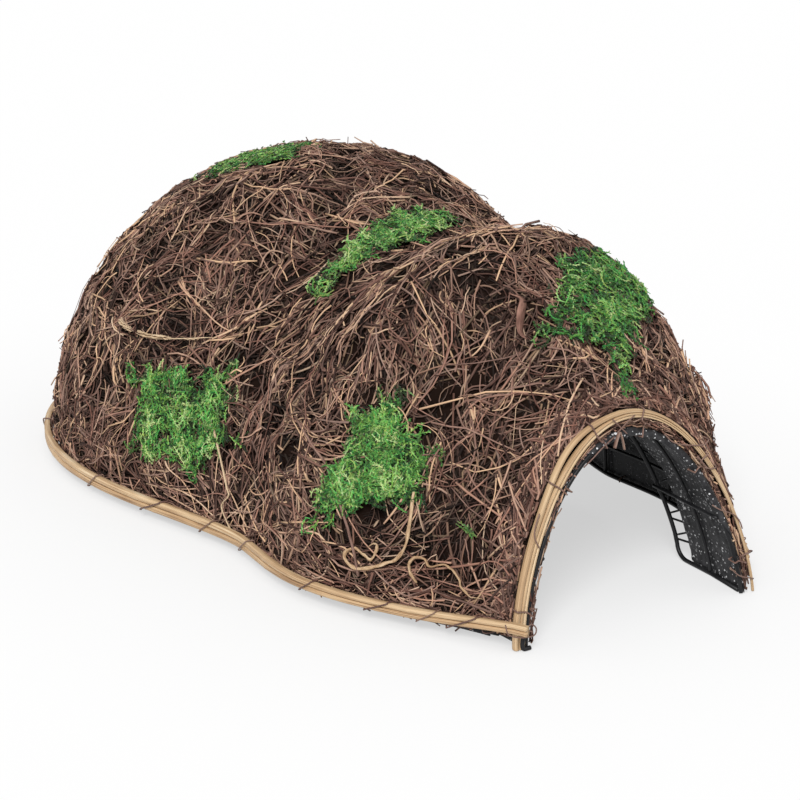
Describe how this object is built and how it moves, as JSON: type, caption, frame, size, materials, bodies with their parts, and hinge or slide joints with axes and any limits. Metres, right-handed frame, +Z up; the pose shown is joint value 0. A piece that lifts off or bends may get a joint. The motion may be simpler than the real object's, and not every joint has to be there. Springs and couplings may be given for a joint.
{
  "type": "hedgehog house",
  "caption": "Brushwood shelter with a domed rear chamber, a smaller front chamber and a leaning arched entrance, laid over a lined wire frame and edged with tied split canes.",
  "frame": {"origin": "middle of the footprint, on the ground", "axes": "+Z up, +Y from the entrance to the rear chamber, +X to the right seen from the entrance"},
  "size_m": [0.437, 0.7065, 0.2557],
  "materials": {
    "black_wire": "smooth black coating",
    "lining": "matt black sheet with pale specks",
    "brushwood": "dry dark twigs",
    "cane": "split cane with a satin skin",
    "binding_wire": "dull red-brown",
    "moss": "dried green moss",
    "pale_wood": "dry pale bark and root"
  },
  "bodies": {
    "root": {"ground_ring": "black_wire", "belt_wire": "black_wire", "ridge_wire": "black_wire", "front_hoop": "black_wire", "waist_hoop": "black_wire", "neck_hoop": "black_wire", "main_hoop": "black_wire", "rear_rib_left": "black_wire", "rear_rib_right": "black_wire", "entrance_hoop": "black_wire", "tunnel_middle_hoop": "black_wire", "tunnel_inner_hoop": "black_wire", "tunnel_rail_left": "black_wire", "tunnel_rail_right": "black_wire", "tunnel_lacing": "black_wire", "tunnel_liner": "lining", "front_liner": "lining", "rear_liner": "lining", "front_brushwood": "brushwood", "rear_brushwood": "brushwood", "rim_cane_lower": "cane", "rim_cane_upper": "cane", "arch_cane_outer": "cane", "arch_cane_middle": "cane", "arch_cane_inner": "cane", "rim_ties": "binding_wire", "arch_ties": "binding_wire", "moss_rear_side": "moss", "moss_saddle": "moss", "moss_front_top": "moss", "moss_front_side": "moss", "moss_crest": "moss", "moss_sprig": "moss", "curly_root_long": "pale_wood", "curly_root_short": "pale_wood", "bark_stick": "pale_wood", "pale_stem": "pale_wood"}
  },
  "joints": []
}
